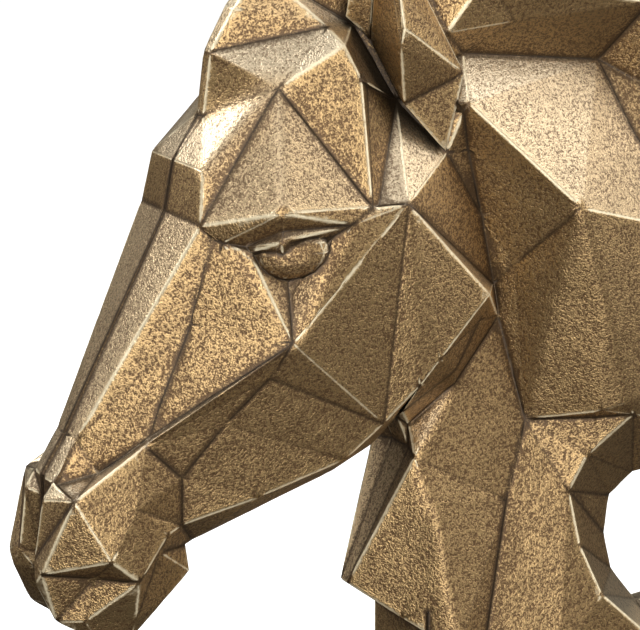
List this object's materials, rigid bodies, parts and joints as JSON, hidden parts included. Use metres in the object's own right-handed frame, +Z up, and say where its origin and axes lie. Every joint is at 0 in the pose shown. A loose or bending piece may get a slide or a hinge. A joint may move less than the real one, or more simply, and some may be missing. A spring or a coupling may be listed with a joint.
{
  "type": "horse head sculpture",
  "caption": "Faceted horse head bust with pricked ears, arched neck and solid mane, cast in one piece with its stem and low plain foot.",
  "frame": {"origin": "centre of the foot's underside", "axes": "+Z up, -X the way the horse faces, Y across; the horse is symmetric about Y = 0"},
  "size_m": [0.3446, 0.096, 0.3401],
  "materials": {
    "antique_brass": "antique brass: fine sandy cast surface, dark brown in the creases, worn bright along the ridges"
  },
  "bodies": {
    "root": {"horse_head": "antique_brass"}
  },
  "joints": []
}
